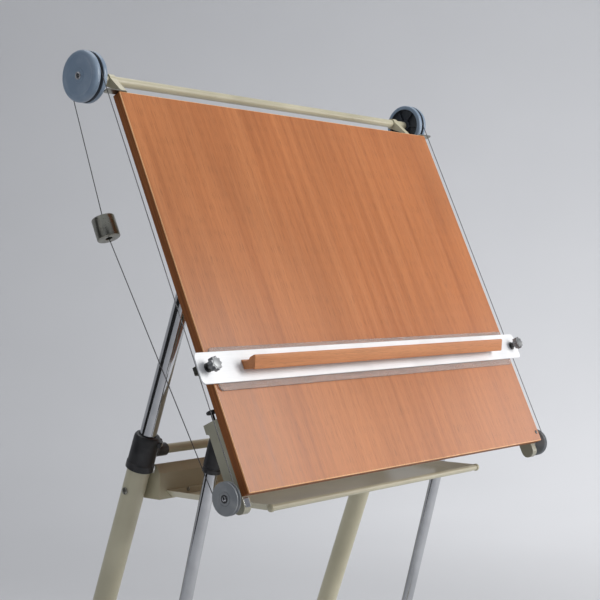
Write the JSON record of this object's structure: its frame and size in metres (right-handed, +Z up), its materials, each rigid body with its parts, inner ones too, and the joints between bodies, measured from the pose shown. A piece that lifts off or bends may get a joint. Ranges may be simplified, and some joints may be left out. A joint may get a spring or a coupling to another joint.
{
  "type": "drafting table",
  "caption": "Tilting, height-adjustable drafting table: a wooden board on telescopic steel legs and stays, with a parallel straightedge guided by counterweighted cable loops",
  "frame": {"origin": "on the floor, at the middle of the footprint", "axes": "+X to the user's right along the board's width, +Y away from the user, +Z up"},
  "size_m": [1.037, 0.82, 1.5589],
  "materials": {
    "veneer": "satin varnish",
    "beech": "satin varnish",
    "cream_paint": "semi-gloss paint",
    "chrome": "polished",
    "steel": "turned",
    "aluminium": "anodised",
    "acrylic": "clear",
    "pulley_plastic": "satin",
    "grey_plastic": "satin",
    "black_plastic": "satin",
    "rubber": "matt",
    "steel_cable": "stranded"
  },
  "bodies": {
    "base": {"foot_left": "cream_paint", "foot_right": "cream_paint", "foot_pad_front_left": "rubber", "foot_pad_front_right": "rubber", "foot_pad_rear_left": "rubber", "foot_pad_rear_right": "rubber", "leg_left": "cream_paint", "leg_right": "cream_paint", "leg_screw_left": "steel", "leg_screw_right": "steel", "collar_left": "black_plastic", "collar_right": "black_plastic", "stretcher": "cream_paint", "tie_bar": "cream_paint", "crossbeam": "cream_paint", "tray": "cream_paint"},
    "carriage": {"upright_left": "chrome", "upright_right": "chrome", "pivot_head_left": "black_plastic", "pivot_head_right": "black_plastic"},
    "board": {"drawing_board": "veneer", "back_rail_left": "cream_paint", "back_rail_right": "cream_paint", "shaft_bearing_left": "cream_paint", "shaft_bearing_right": "cream_paint", "cable_guide_left": "steel", "cable_guide_right": "steel", "tension_bar_left": "cream_paint", "tension_bar_right": "cream_paint", "cable_left": "steel_cable", "cable_right": "steel_cable"},
    "top_shaft_group": {"top_shaft": "cream_paint", "top_pulley_left": "pulley_plastic", "top_pulley_right": "pulley_plastic", "pulley_screw_left": "steel", "pulley_screw_right": "steel"},
    "ruler_group": {"ruler": "aluminium", "clear_edge": "acrylic", "grip": "beech", "cable_clamp_left": "steel", "cable_clamp_right": "steel"},
    "lower_pulley_left_group": {"lower_pulley_left": "grey_plastic"},
    "ruler_knob_left_group": {"ruler_knob_left": "steel"},
    "counterweight_left_group": {"counterweight_left": "steel"},
    "tension_screw_left_group": {"tension_screw_left": "black_plastic"},
    "lock_knob_left_group": {"lock_knob_left": "black_plastic"},
    "stay_block_left_group": {"stay_block_left": "black_plastic"},
    "stay_rod_left_group": {"stay_rod_left": "chrome"},
    "stay_tube_left_group": {"stay_tube_left": "chrome", "stay_collar_left": "black_plastic"},
    "lower_pulley_right_group": {"lower_pulley_right": "grey_plastic"},
    "ruler_knob_right_group": {"ruler_knob_right": "steel"},
    "counterweight_right_group": {"counterweight_right": "steel"},
    "tension_screw_right_group": {"tension_screw_right": "black_plastic"},
    "lock_knob_right_group": {"lock_knob_right": "black_plastic"},
    "stay_block_right_group": {"stay_block_right": "black_plastic"},
    "stay_rod_right_group": {"stay_rod_right": "chrome"},
    "stay_tube_right_group": {"stay_tube_right": "chrome", "stay_collar_right": "black_plastic"}
  },
  "joints": [
    {"name": "height_slide", "type": "slide", "parent": "base", "child": "carriage", "axis": [0, -0.3469, 0.9379], "range_m": [-0.02, 0.16]},
    {"name": "board_tilt", "type": "hinge", "parent": "carriage", "child": "board", "pos_m": [0, -0.10072, 1.17231], "axis": [1, 0, 0], "range_deg": [-30, 5]},
    {"name": "ruler_slide", "type": "slide", "parent": "board", "child": "ruler_group", "axis": [0, 0.4131, 0.9107], "range_m": [-0.15, 0.44]},
    {"name": "top_shaft_spin", "type": "hinge", "parent": "board", "child": "top_shaft_group", "pos_m": [0, 0.04564, 1.51191], "axis": [1, 0, 0], "range_deg": [-610, 210]},
    {"name": "counterweight_slide_left", "type": "slide", "parent": "board", "child": "counterweight_left_group", "axis": [0, 0.4131, 0.9107], "range_m": [-0.45, 0.16], "deforming": ["cable_left"]},
    {"name": "lower_pulley_spin_left", "type": "hinge", "parent": "board", "child": "lower_pulley_left_group", "pos_m": [-0.4975, -0.30012, 0.79084], "axis": [1, 0, 0], "range_deg": [-1020, 350]},
    {"name": "ruler_knob_turn_left", "type": "hinge", "parent": "ruler_group", "child": "ruler_knob_left_group", "pos_m": [-0.486, -0.25795, 1.00725], "axis": [0, -0.9107, 0.4131], "range_deg": [-720, 90]},
    {"name": "tension_screw_turn_left", "type": "hinge", "parent": "board", "child": "tension_screw_left_group", "pos_m": [-0.466, -0.23968, 0.91825], "axis": [0, 0.4131, 0.9107], "range_deg": [-1080, 1080]},
    {"name": "lock_knob_turn_left", "type": "hinge", "parent": "base", "child": "lock_knob_left_group", "pos_m": [-0.35145, 0.04883, 0.84374], "axis": [0.6428, 0.7185, 0.2658], "range_deg": [-360, 90]},
    {"name": "stay_block_swing_left", "type": "hinge", "parent": "base", "child": "stay_block_left_group", "pos_m": [-0.3735, 0.05373, 0.062], "axis": [1, 0, 0], "range_deg": [-0.5, 1.5]},
    {"name": "stay_tube_swing_left", "type": "hinge", "parent": "stay_block_left_group", "child": "stay_tube_left_group", "pos_m": [-0.3735, 0.04752, 0.085], "axis": [1, 0, 0], "range_deg": [-1.5, 4.5]},
    {"name": "stay_rod_swing_left", "type": "hinge", "parent": "board", "child": "stay_rod_left_group", "pos_m": [-0.3735, -0.19532, 0.985], "axis": [1, 0, 0], "range_deg": [-7, 35]},
    {"name": "counterweight_slide_right", "type": "slide", "parent": "board", "child": "counterweight_right_group", "axis": [0, 0.4131, 0.9107], "range_m": [-0.45, 0.16], "deforming": ["cable_right"]},
    {"name": "lower_pulley_spin_right", "type": "hinge", "parent": "board", "child": "lower_pulley_right_group", "pos_m": [0.4975, -0.30012, 0.79084], "axis": [1, 0, 0], "range_deg": [-1020, 350]},
    {"name": "ruler_knob_turn_right", "type": "hinge", "parent": "ruler_group", "child": "ruler_knob_right_group", "pos_m": [0.486, -0.25795, 1.00725], "axis": [0, -0.9107, 0.4131], "range_deg": [-720, 90]},
    {"name": "tension_screw_turn_right", "type": "hinge", "parent": "board", "child": "tension_screw_right_group", "pos_m": [0.466, -0.23968, 0.91825], "axis": [0, 0.4131, 0.9107], "range_deg": [-1080, 1080]},
    {"name": "lock_knob_turn_right", "type": "hinge", "parent": "base", "child": "lock_knob_right_group", "pos_m": [0.35145, 0.04883, 0.84374], "axis": [-0.6428, 0.7185, 0.2658], "range_deg": [-360, 90]},
    {"name": "stay_block_swing_right", "type": "hinge", "parent": "base", "child": "stay_block_right_group", "pos_m": [0.3735, 0.05373, 0.062], "axis": [1, 0, 0], "range_deg": [-0.5, 1.5]},
    {"name": "stay_tube_swing_right", "type": "hinge", "parent": "stay_block_right_group", "child": "stay_tube_right_group", "pos_m": [0.3735, 0.04752, 0.085], "axis": [1, 0, 0], "range_deg": [-1.5, 4.5]},
    {"name": "stay_rod_swing_right", "type": "hinge", "parent": "board", "child": "stay_rod_right_group", "pos_m": [0.3735, -0.19532, 0.985], "axis": [1, 0, 0], "range_deg": [-7, 35]}
  ],
  "couplings": [
    {"joint": "top_shaft_spin", "follows": "ruler_slide", "rad_per_m": -23.81},
    {"joint": "counterweight_slide_left", "follows": "ruler_slide", "ratio": -1},
    {"joint": "lower_pulley_spin_left", "follows": "ruler_slide", "rad_per_m": -40},
    {"joint": "stay_block_swing_left", "follows": "height_slide", "rad_per_m": 0.0813},
    {"joint": "stay_tube_swing_left", "follows": "board_tilt", "ratio": -0.12},
    {"joint": "stay_rod_swing_left", "follows": "board_tilt", "ratio": -1.12},
    {"joint": "counterweight_slide_right", "follows": "ruler_slide", "ratio": -1},
    {"joint": "lower_pulley_spin_right", "follows": "ruler_slide", "rad_per_m": -40},
    {"joint": "stay_block_swing_right", "follows": "height_slide", "rad_per_m": 0.0813},
    {"joint": "stay_tube_swing_right", "follows": "board_tilt", "ratio": -0.12},
    {"joint": "stay_rod_swing_right", "follows": "board_tilt", "ratio": -1.12}
  ]
}
